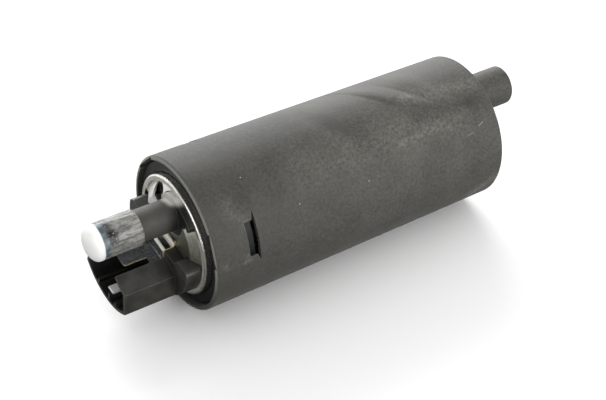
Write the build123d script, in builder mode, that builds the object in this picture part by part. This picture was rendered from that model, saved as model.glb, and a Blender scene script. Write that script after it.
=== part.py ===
from build123d import *
import os
from math import cos, degrees, radians, sin, sqrt, tan

# The pump lies on its side. X runs along its axis, from the outlet end to the inlet spigot at +X.
# X = 0 is the open face of the rubber sleeve, and Y = Z = 0 is the axis. Millimetres and degrees.

# Clearances
fit_gap = 0.05  # round a fixed piece in its seat
shaft_gap = 0.03  # round the shaft in a bush
slide_gap = 0.15  # each side of a brush in its tunnel, and of the impeller's faces
run_gap = 0.3  # round anything else that moves

# Keyed frame of both ends: the nozzle stands on its upper side, the connector on its lower side
key_roll = 14.0

# Outer sleeve, a rubber moulding
sleeve_draft = 0.46
sleeve_wall = 1.3
sleeve_end_wall = 2.0
sleeve_rim_round = 0.9
spigot_radius = 6.4
spigot_bore = 4.0
spigot_length = 15.5
spigot_round = 0.5
collar_wall = 1.6
collar_depth = 6.4

# Snap windows and their lead-in pockets, round the sleeve's mouth
window_start = 11.4
window_length = 3.7
window_width = 10.7
window_turn = -90.0
window_spread = 122.0
slit_span = 16.4
slit_width = 1.1
pocket_depth = 1.0
pocket_width = 11.0

# Steel shell with rolled rims
shell_radius = 19.0
shell_wall = 1.0
shell_front = -0.8
shell_length = 93.7
lip_thickness = 0.7
lip_overlap = 0.7
lip_round = 0.6

# Dished end plate
plate_thickness = 0.8
plate_flange = 1.6
dish_width = 3.4
dish_height = 2.1
plate_hole_radius = 3.4
plate_gap = 0.25

# Outlet cover: base disc, low boss, nozzle
cover_thickness = 6.3
nozzle_radius = 5.0
nozzle_reach = 22.2
nozzle_bore = 3.6
nozzle_throat = 2.2
nozzle_chamfer = 0.5
boss_radius = 6.4
boss_inset = 0.6
boss_rise = 0.1
boss_trim = 0.8
lug_width = 3.8
lug_offset = 0.6
lug_rise = 1.4
lug_scallop = 1.0
hub_radius = 6.2

# Connector: base block and shroud
block_rise = 3.6
block_gap = 0.1
block_shoulder = 2.4
block_notch = -0.2
block_step_outer = 11.2
block_step_inner = 9.6
block_corner = 2.0
shroud_length = 16.7
shroud_half_angle = 44.0
shroud_wall = 1.0
shroud_shoulder_u = 11.0
shroud_shoulder_w = -4.5
shroud_lip_u = 5.0
shroud_lip_w = -2.0
rib_places = (-5.8, -1.9, 4.5)
rib_thickness = 0.7
rib_height = 2.6

# Terminals, bent and straight strip
strip_thickness = 0.5
strip_bend = 0.4
strap_width = 8.4
strap_foot = 2.2
strap_drop = 4.2
strap_step = 3.8
blade_width = 5.8
blade_offset = 1.6
blade_end_back = 4.9
blade_corner = 1.0
supply_width = 2.8
supply_offset = -1.7
supply_thickness = 0.8
supply_inset = 3.6
supply_end_back = 0.7
supply_tip_chamfer = 0.2

# Dust cap on the nozzle
cap_wall = 0.3
cap_depth = 10.6
cap_hollow = 2.4
cap_end_wall = 0.6
cap_dome = 3.0

# Check valve in the nozzle
valve_seat_depth = 16.4
valve_head = 3.1
valve_head_thickness = 1.4
valve_stem = 1.0
valve_stem_length = 7.0
retainer_thickness = 1.2
retainer_depth = 5.0
retainer_vent = 0.9
retainer_vent_count = 4

# Relief valve in the cover, under the plate's hole
relief_bore = 2.8
relief_wall = 1.4
relief_depth = 10.3
relief_seat_wall = 2.0
relief_inset = 0.45
relief_turn = 50.4
relief_throat = 1.6
relief_ball_radius = 2.3
relief_plug_thickness = 1.8
relief_plug_bore = 1.3

# Cover seal
ring_section = 0.7
ring_centre_depth = 3.3

# Brushes and their tunnels
brush_inset = 3.1
brush_width = 5.0
brush_height = 6.0
brush_length = 8.0
tunnel_wall = 0.9
tunnel_floor = 1.8
tunnel_length = 7.0

# Rotor
shaft_radius = 2.0
shaft_front_end = 3.2
shaft_rear_end = 1.0
bush_radius = 4.2
bush_length = 6.0
washer_radius = 4.4
washer_thickness = 1.0
commutator_step = 1.4
commutator_thickness = 4.0
commutator_space = 2.0
commutator_slots = 8
commutator_slot_width = 0.6
commutator_slot_depth = 1.5
air_gap = 0.65
core_front_space = 8.0
core_rear_space = 10.0
core_slots = 8
tooth_share = 0.374
tooth_lip = 1.0
slot_mouth = 1.4
hub_wall = 3.2
turns_height = 4.5
turns_inset = 0.9
turns_chamfer = 1.5

# Magnets and clips
magnet_thickness = 4.4
magnet_gap_arc = 30.0
magnet_overhang = 4.0
clip_thickness = 0.6
clip_play_arc = 0.6

# Pump stage
port_plate_thickness = 8.0
pump_ring_wall = 2.95
inlet_cover_thickness = 8.7
channel_rim = 0.6
channel_width = 3.5
channel_depth = 1.2
channel_arc = 300.0
channel_lead_arc = 10.0
port_radius = 1.7
impeller_thickness = 3.2
vane_count = 24
vane_gap_width = 1.5
flat_depth = 0.5
neck_radius = 4.5
neck_bore = 3.0
neck_length = 10.8
neck_inset = 0.5
neck_gap = 1.9
neck_ring_back = 2.0
button_radius = 2.2
button_thickness = 2.0

# Rubber isolators
isolator_thickness = 3.95
isolator_gap = 0.2
front_isolator_start = 1.4
front_isolator_length = 12.6
front_isolator_round = 0.8
rear_isolator_grip = 10.0
rear_isolator_end = 3.0

# Springs
spring_wire = 0.25
spring_turns = 4

# Directions of the keyed frame and the sizes that several pieces share
key_u = Vector(0, cos(radians(key_roll)), sin(radians(key_roll)))
key_w = Vector(0, -sin(radians(key_roll)), cos(radians(key_roll)))
shell_inner = shell_radius - shell_wall
seat_radius = shell_inner - fit_gap
lip_inner = shell_inner - lip_overlap
shell_back = shell_front + shell_length
plate_front = shell_front + lip_thickness
plate_back = plate_front + plate_thickness
dish_front = plate_front - dish_height
dish_back = dish_front + plate_thickness
flange_inner = shell_inner - plate_flange
dish_radius = flange_inner - dish_width
cover_back = plate_back + cover_thickness
block_radius = lip_inner - block_gap
block_front = dish_front - block_rise
shroud_front = block_front - shroud_length
rib_top = shroud_wall + rib_height - block_radius
supply_w = shroud_wall + supply_inset - block_radius
nozzle_front = dish_front - nozzle_reach
nozzle_offset = block_radius - boss_radius - boss_inset
boss_flat = boss_radius - boss_trim
lug_base = nozzle_offset + lug_offset
lug_reach = boss_radius + lug_width
lug_tip = lug_base + lug_rise
boss_front = dish_front - boss_rise
valve_seat = nozzle_front + valve_seat_depth
relief_place = seat_radius - relief_inset - relief_wall - relief_bore
relief_u = relief_place * cos(radians(relief_turn))
relief_w = relief_place * sin(radians(relief_turn))
bush_front = cover_back + tunnel_length - bush_length

cover_end = shell_back - lip_thickness
inlet_offset = lip_inner - neck_radius - neck_inset
neck_end = cover_end + neck_length
end_wall_front = neck_end + neck_gap
sleeve_length = end_wall_front + sleeve_end_wall
sleeve_radius = shell_radius + fit_gap + isolator_thickness + isolator_gap + sleeve_wall
sleeve_rear_radius = sleeve_radius - sleeve_length * tan(radians(sleeve_draft))
pump_ring_back = cover_end - inlet_cover_thickness
impeller_front = pump_ring_back - slide_gap - impeller_thickness
pump_ring_front = impeller_front - slide_gap
port_plate_start = pump_ring_front - port_plate_thickness
impeller_radius = seat_radius - pump_ring_wall
channel_outer = impeller_radius - channel_rim
channel_inner = channel_outer - channel_width
channel_turn = 90 - channel_lead_arc + channel_arc / 2

shaft_start = bush_front - shaft_front_end
shaft_end = pump_ring_back + shaft_rear_end
commutator_start = cover_back + tunnel_length + commutator_space
core_start = commutator_start + commutator_thickness + core_front_space
core_length = port_plate_start - core_rear_space - core_start
magnet_inner = seat_radius - magnet_thickness
core_radius = magnet_inner - air_gap
commutator_radius = core_radius - commutator_step
slot_spread = sin(radians(180 / core_slots)) * (1 - tooth_share)
slot_radius = (core_radius - tooth_lip) * slot_spread / (1 + slot_spread)
slot_place = core_radius - tooth_lip - slot_radius
turns_inner = shaft_radius + hub_wall
turns_outer = core_radius - turns_inset
brush_place = commutator_radius - brush_inset


def across(x):
    """Plane across the axis at x, with its own x along u and its own y along w."""
    return Plane(origin=(x, 0, 0), x_dir=key_u, z_dir=(1, 0, 0))


def along(u=0.0, w=0.0):
    """Plane that holds the line parallel to the axis through (u, w): its own y runs along w."""
    return Plane(origin=key_u * u + key_w * w, x_dir=(1, 0, 0), z_dir=key_u * -1)


def line_through(u=0.0, w=0.0):
    """Axis parallel to the pump's through (u, w)."""
    return Axis(key_u * u + key_w * w, (1, 0, 0))


def coil_spring(start, end, u, w, radius):
    """Compression spring between two seats, on a line parallel to the pump's axis."""
    rise = end - start - 2 * spring_wire
    with BuildPart() as spring:
        with BuildLine() as coil:
            foot = key_u * u + key_w * w + Vector(start + spring_wire, 0, 0)
            Helix(rise / spring_turns, rise, radius, center=foot, direction=(1, 0, 0))
        with BuildSketch(Plane(origin=coil.line @ 0, z_dir=coil.line % 0)):
            RegularPolygon(spring_wire, 6)
        sweep(is_frenet=True)
    return spring.part


def ring_solid(start, length, outer, inner):
    """Plain ring or sleeve on the pump's axis."""
    with BuildPart() as ring:
        with BuildSketch(across(start)):
            Circle(outer)
            Circle(inner, mode=Mode.SUBTRACT)
        extrude(amount=length)
    return ring.part


def o_ring(x, u, w, radius, section):
    """Rubber ring of round section, across the axis at x."""
    with BuildPart() as ring:
        with BuildSketch(along(u, w)):
            with Locations((x, radius)):
                Circle(section)
        revolve(axis=line_through(u, w))
    return ring.part


def band(outer, inner, centre_turn, arc, mode=Mode.ADD):
    """Arc-shaped band in the open sketch, its middle at centre_turn from u."""
    with BuildLine() as outline:
        rim = CenterArc((0, 0), outer, centre_turn - arc / 2, arc)
        root = CenterArc((0, 0), inner, centre_turn - arc / 2, arc)
        Line(rim @ 0, root @ 0)
        Line(rim @ 1, root @ 1)
    make_face(outline.edges(), mode=mode)


# Outlines that the cover and the end plate share, drawn flat in (u, w)
with BuildSketch() as boss_outline:
    with Locations((0, nozzle_offset)):
        Circle(boss_radius)
    with BuildLine():
        Polyline(
            (0, lug_base),
            (-boss_radius, lug_base),
            (-lug_reach, lug_tip),
            (-lug_reach, shell_radius),
            (0, shell_radius),
            close=True,
        )
    make_face()
    with Locations(((-boss_radius - lug_reach) / 2, (lug_base + lug_tip) / 2)):
        Circle(lug_scallop, mode=Mode.SUBTRACT)
    Circle(block_radius, mode=Mode.INTERSECT)
    with Locations((boss_flat, 0)):
        Rectangle(block_radius, 2 * block_radius, align=(Align.MIN, Align.CENTER), mode=Mode.SUBTRACT)

block_half_width = sqrt(block_radius**2 - block_shoulder**2)
with BuildSketch() as block_outline:
    with BuildLine():
        ThreePointArc(
            (-block_half_width, block_shoulder), (0, -block_radius), (block_half_width, block_shoulder)
        )
        Polyline(
            (block_half_width, block_shoulder),
            (block_step_outer, block_shoulder),
            (block_step_inner, block_notch),
            (-block_step_inner, block_notch),
            (-block_step_outer, block_shoulder),
            (-block_half_width, block_shoulder),
        )
    make_face()
    fillet(block_outline.vertices().group_by(SortBy.DISTANCE)[-1], block_corner)

shroud_foot = Vector(block_radius, 0).rotate(Axis.Z, shroud_half_angle - 90)
with BuildSketch() as shroud_outline:
    with BuildLine():
        ThreePointArc((-shroud_foot.X, shroud_foot.Y), (0, -block_radius), (shroud_foot.X, shroud_foot.Y))
        Polyline(
            (shroud_foot.X, shroud_foot.Y),
            (shroud_shoulder_u, shroud_shoulder_w),
            (shroud_lip_u, shroud_lip_w),
            (-shroud_lip_u, shroud_lip_w),
            (-shroud_shoulder_u, shroud_shoulder_w),
            (-shroud_foot.X, shroud_foot.Y),
        )
    make_face()

# Outer sleeve
with BuildPart() as outer_sleeve:
    with BuildSketch(Plane.XZ):
        with BuildLine():
            Polyline(
                (0, sleeve_radius - sleeve_wall),
                (0, sleeve_radius),
                (sleeve_length, sleeve_rear_radius),
                (sleeve_length, 0),
                (end_wall_front, 0),
                (end_wall_front, sleeve_rear_radius - sleeve_wall),
                close=True,
            )
        make_face()
    revolve(axis=Axis.X)
    rim = outer_sleeve.edges().filter_by(GeomType.CIRCLE).group_by(Axis.X)[0].sort_by(SortBy.RADIUS)[-1]
    fillet(rim, sleeve_rim_round)
    # Inlet spigot outside and the collar for the pump's neck inside
    with BuildSketch(across(sleeve_length)):
        with Locations((0, inlet_offset)):
            Circle(spigot_radius)
    extrude(amount=spigot_length)
    tip = outer_sleeve.edges().filter_by(GeomType.CIRCLE).group_by(Axis.X)[-1]
    fillet(tip, spigot_round)
    with BuildSketch(across(end_wall_front)):
        with Locations((0, inlet_offset)):
            Circle(neck_radius + 2 * ring_section + collar_wall)
    extrude(amount=-collar_depth)
    with BuildSketch(across(end_wall_front - collar_depth)):
        with Locations((0, inlet_offset)):
            Circle(neck_radius + 2 * ring_section)
    extrude(amount=collar_depth, mode=Mode.SUBTRACT)
    with BuildSketch(across(end_wall_front)):
        with Locations((0, inlet_offset)):
            Circle(spigot_bore)
    extrude(amount=sleeve_end_wall + spigot_length, mode=Mode.SUBTRACT)
    # Snap windows, each a T of a wide slot and a long slit, and a flat pocket that leads to it
    for turn in (window_turn, window_turn + window_spread, window_turn - window_spread):
        outward = key_u * cos(radians(turn)) + key_w * sin(radians(turn))
        with BuildSketch(Plane(origin=outward * sleeve_radius, x_dir=(1, 0, 0), z_dir=outward)):
            with Locations((window_start, 0)):
                Rectangle(window_length, window_width, align=(Align.MIN, Align.CENTER))
            with BuildLine():
                Polyline(
                    (window_start + window_length - slit_width, window_width / 2),
                    (window_start + window_length, slit_span / 2),
                    (window_start + window_length, -slit_span / 2),
                    (window_start + window_length - slit_width, -window_width / 2),
                    close=True,
                )
            make_face()
        extrude(amount=-isolator_thickness, mode=Mode.SUBTRACT)
        pocket_floor = outward * (sleeve_radius - pocket_depth)
        with BuildSketch(Plane(origin=pocket_floor, x_dir=(1, 0, 0), z_dir=outward)):
            Rectangle(window_start + window_length, pocket_width, align=(Align.MIN, Align.CENTER))
        extrude(amount=-isolator_thickness, mode=Mode.SUBTRACT)
outer_sleeve.part.label = "outer_sleeve"

# Steel shell, a tube whose ends are rolled inwards
with BuildPart() as pump_shell:
    with BuildSketch(Plane.XZ):
        with BuildLine():
            Polyline(
                (shell_front, lip_inner),
                (shell_front, shell_radius),
                (shell_back, shell_radius),
                (shell_back, lip_inner),
                (shell_back - lip_thickness, lip_inner),
                (shell_back - lip_thickness, shell_inner),
                (plate_front, shell_inner),
                (plate_front, lip_inner),
                close=True,
            )
        shell_profile = make_face()
        fillet(shell_profile.vertices().group_by(Axis.Y)[-1], lip_round)
    revolve(axis=Axis.X)
pump_shell.part.label = "pump_shell"

# End plate: a dished stamping, open where the boss and the connector block come through
with BuildPart() as end_plate:
    with BuildSketch(Plane.XZ):
        with BuildLine():
            Polyline(
                (dish_front, 0),
                (dish_front, dish_radius),
                (plate_front, flange_inner),
                (plate_front, seat_radius),
                (plate_back, seat_radius),
                (plate_back, flange_inner),
                (dish_back, dish_radius),
                (dish_back, 0),
                close=True,
            )
        make_face()
    revolve(axis=Axis.X)
    with BuildSketch(across(dish_front)):
        add(boss_outline.sketch)
        offset(amount=plate_gap, kind=Kind.INTERSECTION)
        with Locations((relief_u, relief_w)):
            Circle(plate_hole_radius)
        with BuildLine():
            Polyline(
                (shell_radius, block_shoulder + plate_gap),
                (block_step_outer - plate_gap, block_shoulder + plate_gap),
                (block_step_inner - plate_gap, block_notch + plate_gap),
                (-block_step_inner + plate_gap, block_notch + plate_gap),
                (-block_step_outer + plate_gap, block_shoulder + plate_gap),
                (-shell_radius, block_shoulder + plate_gap),
                (-shell_radius, -shell_radius),
                (shell_radius, -shell_radius),
                close=True,
            )
        make_face()
    extrude(amount=plate_back - dish_front, mode=Mode.SUBTRACT)
end_plate.part.label = "end_plate"

# Outlet cover, one moulding: base disc, boss, nozzle, connector and the brush and valve housings
relief_seat = plate_back + relief_depth
tunnel_start = plate_back + tunnel_floor
ring_centre = plate_back + ring_centre_depth
with BuildPart() as outlet_cover:
    with BuildSketch(Plane.XZ):
        with BuildLine():
            Polyline(
                (dish_back, 0),
                (dish_back, dish_radius - fit_gap),
                (plate_back, dish_radius - fit_gap),
                (plate_back, seat_radius),
                (ring_centre - ring_section - fit_gap, seat_radius),
                (ring_centre - ring_section - fit_gap, seat_radius - 2 * ring_section),
                (ring_centre + ring_section + fit_gap, seat_radius - 2 * ring_section),
                (ring_centre + ring_section + fit_gap, seat_radius),
                (cover_back, seat_radius),
                (cover_back, 0),
                close=True,
            )
        make_face()
    revolve(axis=Axis.X)
    with BuildSketch(across(boss_front)):
        add(boss_outline.sketch)
    extrude(amount=plate_back - boss_front)
    # Nozzle
    with BuildSketch(across(nozzle_front)):
        with Locations((0, nozzle_offset)):
            Circle(nozzle_radius)
    extrude(amount=plate_back - nozzle_front)
    nozzle_tip = outlet_cover.faces().group_by(Axis.X)[0].edges().filter_by(GeomType.CIRCLE)
    chamfer(nozzle_tip, nozzle_chamfer)
    with BuildSketch(across(block_front)):
        add(block_outline.sketch)
    extrude(amount=plate_back - block_front)
    # The earth strap bends round this edge
    across_edges = outlet_cover.edges().filter_by(Axis((0, 0, 0), key_u))
    notch_edge = across_edges.group_by(Axis.X)[0].sort_by(SortBy.LENGTH)[-1]
    fillet(notch_edge, strip_bend - fit_gap)
    # Connector shroud: a shell that is open in front and between its two lips, with guide ribs
    with BuildSketch(across(shroud_front)):
        add(shroud_outline.sketch)
        offset(amount=-shroud_wall, kind=Kind.INTERSECTION, mode=Mode.SUBTRACT)
        with Locations((0, shroud_lip_w)):
            Rectangle(2 * shroud_lip_u, 4 * shroud_wall, mode=Mode.SUBTRACT)
    extrude(amount=shroud_length)
    with BuildSketch(across(shroud_front)):
        for place in rib_places:
            rib_root = -sqrt((block_radius - shroud_wall / 2) ** 2 - place**2)
            with Locations((place, rib_top)):
                Rectangle(rib_thickness, rib_top - rib_root, align=(Align.CENTER, Align.MAX))
    extrude(amount=shroud_length)
    # Housings on the inner side: bush hub, brush tunnels, relief valve
    with BuildSketch(across(cover_back)):
        Circle(hub_radius)
        with Locations((-brush_place, 0), (brush_place, 0)):
            Rectangle(
                brush_width + 2 * (slide_gap + tunnel_wall), brush_height + 2 * (slide_gap + tunnel_wall)
            )
    extrude(amount=tunnel_length)
    with BuildSketch(across(cover_back)):
        with Locations((relief_u, relief_w)):
            Circle(relief_bore + relief_wall)
        Circle(seat_radius, mode=Mode.INTERSECT)
    extrude(amount=relief_seat + relief_seat_wall - cover_back)
    # Bores and pockets
    with BuildSketch(across(nozzle_front)):
        with Locations((0, nozzle_offset)):
            Circle(nozzle_bore)
    extrude(amount=valve_seat_depth, mode=Mode.SUBTRACT)
    with BuildSketch(across(nozzle_front)):
        with Locations((0, nozzle_offset)):
            Circle(nozzle_throat)
    extrude(amount=cover_back - nozzle_front, mode=Mode.SUBTRACT)
    with BuildSketch(across(dish_front)):
        with Locations((relief_u, relief_w)):
            Circle(relief_bore)
    extrude(amount=relief_seat - dish_front, mode=Mode.SUBTRACT)
    with BuildSketch(across(relief_seat)):
        with Locations((relief_u, relief_w)):
            Circle(relief_throat)
    extrude(amount=relief_seat_wall, mode=Mode.SUBTRACT)
    with BuildSketch(across(tunnel_start)):
        with Locations((-brush_place, 0), (brush_place, 0)):
            Rectangle(brush_width + 2 * slide_gap, brush_height + 2 * slide_gap)
    extrude(amount=cover_back + tunnel_length - tunnel_start, mode=Mode.SUBTRACT)
    with BuildSketch(across(cover_back + tunnel_length)):
        Circle(bush_radius + fit_gap)
    extrude(amount=-bush_length, mode=Mode.SUBTRACT)
    with BuildSketch(across(bush_front)):
        Circle(shaft_radius + run_gap)
    extrude(amount=-shaft_front_end - run_gap, mode=Mode.SUBTRACT)
    # Slot for the supply terminal
    with BuildSketch(across(block_front)):
        with Locations((supply_offset, supply_w)):
            Rectangle(supply_width + 2 * fit_gap, supply_thickness + 2 * fit_gap)
    extrude(amount=cover_back - block_front, mode=Mode.SUBTRACT)
outlet_cover.part.label = "outlet_cover"

# Earth terminal: foot on the plate, strap over the block, drop in front of it, then the blade
strap_under = block_notch + fit_gap
strap_top = strap_under + strip_thickness
strap_back = block_front - fit_gap
strap_face = strap_back - strip_thickness
blade_top = strap_top - strap_drop
blade_front = shroud_front + blade_end_back
with BuildPart() as earth_terminal:
    with BuildSketch(along()):
        with BuildLine():
            FilletPolyline(
                (dish_front - strip_thickness, strap_top + strap_foot),
                (dish_front - strip_thickness, strap_top),
                (strap_face, strap_top),
                (strap_face, blade_top),
                (strap_face - strap_step, blade_top),
                radius=(strip_bend, strip_bend + strip_thickness, strip_bend),
            )
            offset(amount=strip_thickness, side=Side.LEFT)
        make_face()
    extrude(amount=strap_width / 2, both=True)
    with BuildSketch(Plane(origin=key_w * blade_top, x_dir=(1, 0, 0), z_dir=key_w)):
        with Locations((blade_front, blade_offset)):
            RectangleRounded(
                strap_face - strip_bend - blade_front,
                blade_width,
                blade_corner,
                align=(Align.MIN, Align.CENTER),
            )
    extrude(amount=-strip_thickness)
earth_terminal.part.label = "earth_terminal"

# Supply terminal: a straight blade through the block
with BuildPart() as supply_terminal:
    with BuildSketch(across(shroud_front + supply_end_back)):
        with Locations((supply_offset, supply_w)):
            Rectangle(supply_width, supply_thickness)
    extrude(amount=cover_back - shroud_front - supply_end_back)
    blade_tip = supply_terminal.faces().sort_by(Axis.X)[0].edges().sort_by(SortBy.LENGTH)[-2:]
    chamfer(blade_tip, supply_tip_chamfer)
supply_terminal.part.label = "supply_terminal"

# Dust cap: a soft tube over the nozzle, with a domed end
cap_inner = nozzle_radius + run_gap
cap_outer = cap_inner + cap_wall
cap_rim = nozzle_front + cap_depth
cap_floor = nozzle_front - cap_hollow
cap_shoulder = cap_floor - cap_end_wall + cap_wall
with BuildPart() as dust_cap:
    with BuildSketch(along(0, nozzle_offset)):
        with BuildLine():
            Polyline(
                (cap_shoulder, cap_outer),
                (cap_rim, cap_outer),
                (cap_rim, cap_inner),
                (cap_floor, cap_inner),
                (cap_floor, 0),
                (cap_shoulder - cap_dome, 0),
            )
            Spline(
                (cap_shoulder, cap_outer),
                (cap_shoulder - cap_dome, 0),
                tangents=((-1, 0), (0, -1)),
            )
        make_face()
    revolve(axis=line_through(0, nozzle_offset))
dust_cap.part.label = "dust_cap"

# Check valve: a poppet on a seat in the nozzle, its spring and its retainer
with BuildPart() as check_valve:
    with BuildSketch(along(0, nozzle_offset)):
        with BuildLine():
            Polyline(
                (valve_seat - valve_stem_length, 0),
                (valve_seat - valve_stem_length, valve_stem),
                (valve_seat - valve_head_thickness, valve_stem),
                (valve_seat - valve_head_thickness, valve_head),
                (valve_seat - slide_gap, valve_head),
                (valve_seat - slide_gap, 0),
                close=True,
            )
        make_face()
    revolve(axis=line_through(0, nozzle_offset))
check_valve.part.label = "check_valve"

retainer_start = nozzle_front + retainer_depth
with BuildPart() as check_valve_retainer:
    with BuildSketch(across(retainer_start)):
        with Locations((0, nozzle_offset)):
            Circle(nozzle_bore - fit_gap)
            Circle(valve_stem + run_gap, mode=Mode.SUBTRACT)
            with PolarLocations((nozzle_bore + valve_stem) / 2, retainer_vent_count):
                Circle(retainer_vent / 2, mode=Mode.SUBTRACT)
    extrude(amount=retainer_thickness)
check_valve_retainer.part.label = "check_valve_retainer"

valve_spring_radius = (valve_head + valve_stem) / 2
check_valve_spring = coil_spring(
    retainer_start + retainer_thickness,
    valve_seat - valve_head_thickness,
    0,
    nozzle_offset,
    valve_spring_radius,
)
check_valve_spring.label = "check_valve_spring"

# Relief valve: a ball on its seat, its spring and the plug that holds them
ball_centre = relief_seat - sqrt((relief_ball_radius + fit_gap) ** 2 - relief_throat**2)
plug_start = plate_back + fit_gap
with BuildPart() as relief_ball:
    with Locations(key_u * relief_u + key_w * relief_w + Vector(ball_centre, 0, 0)):
        Sphere(relief_ball_radius)
relief_ball.part.label = "relief_ball"

with BuildPart() as relief_plug:
    with BuildSketch(across(plug_start)):
        with Locations((relief_u, relief_w)):
            Circle(relief_bore - fit_gap)
            Circle(relief_plug_bore, mode=Mode.SUBTRACT)
    extrude(amount=relief_plug_thickness)
relief_plug.part.label = "relief_plug"

relief_spring = coil_spring(
    plug_start + relief_plug_thickness,
    ball_centre - relief_ball_radius / 2,
    relief_u,
    relief_w,
    relief_ball_radius - spring_wire,
)
relief_spring.label = "relief_spring"

cover_o_ring = o_ring(ring_centre, 0, 0, seat_radius - ring_section, ring_section - fit_gap)
cover_o_ring.label = "cover_o_ring"

# Brushes, pressed on the commutator's face by springs in their tunnels
brush_end = commutator_start - slide_gap
brushes = {}
for side, place in (("near", -brush_place), ("far", brush_place)):
    with BuildPart() as brush:
        with BuildSketch(across(brush_end)):
            with Locations((place, 0)):
                Rectangle(brush_width, brush_height)
        extrude(amount=-brush_length)
    brushes[f"brush_{side}"] = brush.part
    brushes[f"brush_spring_{side}"] = coil_spring(
        tunnel_start, brush_end - brush_length, place, 0, brush_width / 2 - 2 * spring_wire
    )
for name, piece in brushes.items():
    piece.label = name

# Bushes, shaft and thrust pieces
front_bush = ring_solid(bush_front, bush_length, bush_radius, shaft_radius + shaft_gap)
front_bush.label = "front_bush"
rear_bush = ring_solid(pump_ring_front - bush_length, bush_length, bush_radius, shaft_radius + shaft_gap)
rear_bush.label = "rear_bush"
thrust_washer = ring_solid(
    commutator_start - washer_thickness, washer_thickness, washer_radius, shaft_radius + fit_gap
)
thrust_washer.label = "thrust_washer"

with BuildPart() as shaft:
    with BuildSketch(across(shaft_start)):
        Circle(shaft_radius)
    extrude(amount=shaft_end - shaft_start)
    # Flat that drives the impeller
    with BuildSketch(across(impeller_front)):
        with Locations((0, shaft_radius - flat_depth)):
            Rectangle(2 * shaft_radius, shaft_radius, align=(Align.CENTER, Align.MIN))
    extrude(amount=shaft_end - impeller_front, mode=Mode.SUBTRACT)
shaft.part.label = "shaft"

button_start = shaft_end + slide_gap
with BuildPart() as thrust_button:
    with BuildSketch(across(button_start)):
        Circle(button_radius)
    extrude(amount=button_thickness)
thrust_button.part.label = "thrust_button"

# Commutator: carbon face with radial slots, on a hub
with BuildPart() as commutator:
    with BuildSketch(across(commutator_start)):
        Circle(commutator_radius)
    extrude(amount=commutator_thickness)
    with BuildSketch(across(commutator_start + commutator_thickness)):
        Circle(turns_inner)
    extrude(amount=core_start - commutator_start - commutator_thickness)
    with BuildSketch(across(commutator_start)):
        with PolarLocations(commutator_radius, commutator_slots):
            Rectangle(
                commutator_radius - washer_radius, commutator_slot_width, align=(Align.MAX, Align.CENTER)
            )
    extrude(amount=commutator_slot_depth, mode=Mode.SUBTRACT)
    with BuildSketch(across(commutator_start)):
        Circle(shaft_radius + fit_gap)
    extrude(amount=core_start - commutator_start, mode=Mode.SUBTRACT)
commutator.part.label = "commutator"

# Armature: slotted core and the windings that fill its slots and turn over at both ends
with BuildPart() as armature_core:
    with BuildSketch(across(core_start)):
        Circle(core_radius)
        Circle(shaft_radius + fit_gap, mode=Mode.SUBTRACT)
        with PolarLocations(slot_place, core_slots):
            Circle(slot_radius, mode=Mode.SUBTRACT)
            Rectangle(core_radius, slot_mouth, align=(Align.MIN, Align.CENTER), mode=Mode.SUBTRACT)
    extrude(amount=core_length)
armature_core.part.label = "armature_core"

with BuildPart() as windings:
    with BuildSketch(across(core_start)):
        with PolarLocations(slot_place, core_slots):
            Circle(slot_radius - fit_gap)
    extrude(amount=core_length)
    with BuildSketch(Plane.XZ):
        for edge_x in (core_start - turns_height, core_start + core_length):
            with Locations((edge_x, turns_inner + fit_gap)):
                turns = Rectangle(turns_height, turns_outer - turns_inner, align=(Align.MIN, Align.MIN))
            chamfer(turns.vertices().group_by(Axis.Y)[-1], turns_chamfer)
    revolve(axis=Axis.X)
windings.part.label = "windings"

# Field magnets and the spring clips between them
magnet_start = core_start - magnet_overhang
magnet_length = core_length + 2 * magnet_overhang
clip_arc = magnet_gap_arc - clip_play_arc
clip_room_arc = clip_arc - 2 * degrees(clip_thickness / magnet_inner)
field_pieces = []
for side, turn in (("upper", 90), ("lower", -90)):
    with BuildPart() as magnet:
        with BuildSketch(across(magnet_start)):
            band(seat_radius, magnet_inner, turn, 180 - magnet_gap_arc)
        extrude(amount=magnet_length)
    magnet.part.label = f"magnet_{side}"
    field_pieces.append(magnet.part)
for side, turn in (("near", 180), ("far", 0)):
    with BuildPart() as clip:
        with BuildSketch(across(magnet_start)):
            band(seat_radius, magnet_inner + clip_thickness, turn, clip_arc)
            band(seat_radius - clip_thickness, magnet_inner, turn, clip_room_arc, Mode.SUBTRACT)
        extrude(amount=magnet_length)
    clip.part.label = f"magnet_clip_{side}"
    field_pieces.append(clip.part)

# Port plate: carries the rear bush, and half of the flow channel is cut in its back face. The channel starts
# under the inlet and ends at the port that leads forward through the motor.
port_place = (channel_outer + channel_inner) / 2
port_turn = radians(channel_turn + channel_arc / 2 - channel_lead_arc)
with BuildPart() as port_plate:
    with BuildSketch(across(port_plate_start)):
        Circle(seat_radius)
    extrude(amount=port_plate_thickness)
    with BuildSketch(across(port_plate_start)):
        Circle(shaft_radius + run_gap)
    extrude(amount=port_plate_thickness, mode=Mode.SUBTRACT)
    with BuildSketch(across(pump_ring_front)):
        Circle(bush_radius + fit_gap)
    extrude(amount=-bush_length, mode=Mode.SUBTRACT)
    with BuildSketch(across(pump_ring_front)):
        band(channel_outer, channel_inner, channel_turn, channel_arc)
    extrude(amount=-channel_depth, mode=Mode.SUBTRACT)
    with BuildSketch(across(port_plate_start)):
        with Locations((port_place * cos(port_turn), port_place * sin(port_turn))):
            Circle(port_radius)
    extrude(amount=port_plate_thickness, mode=Mode.SUBTRACT)
port_plate.part.label = "port_plate"

pump_ring = ring_solid(
    pump_ring_front, pump_ring_back - pump_ring_front, seat_radius, impeller_radius + run_gap
)
pump_ring.label = "pump_ring"

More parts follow.
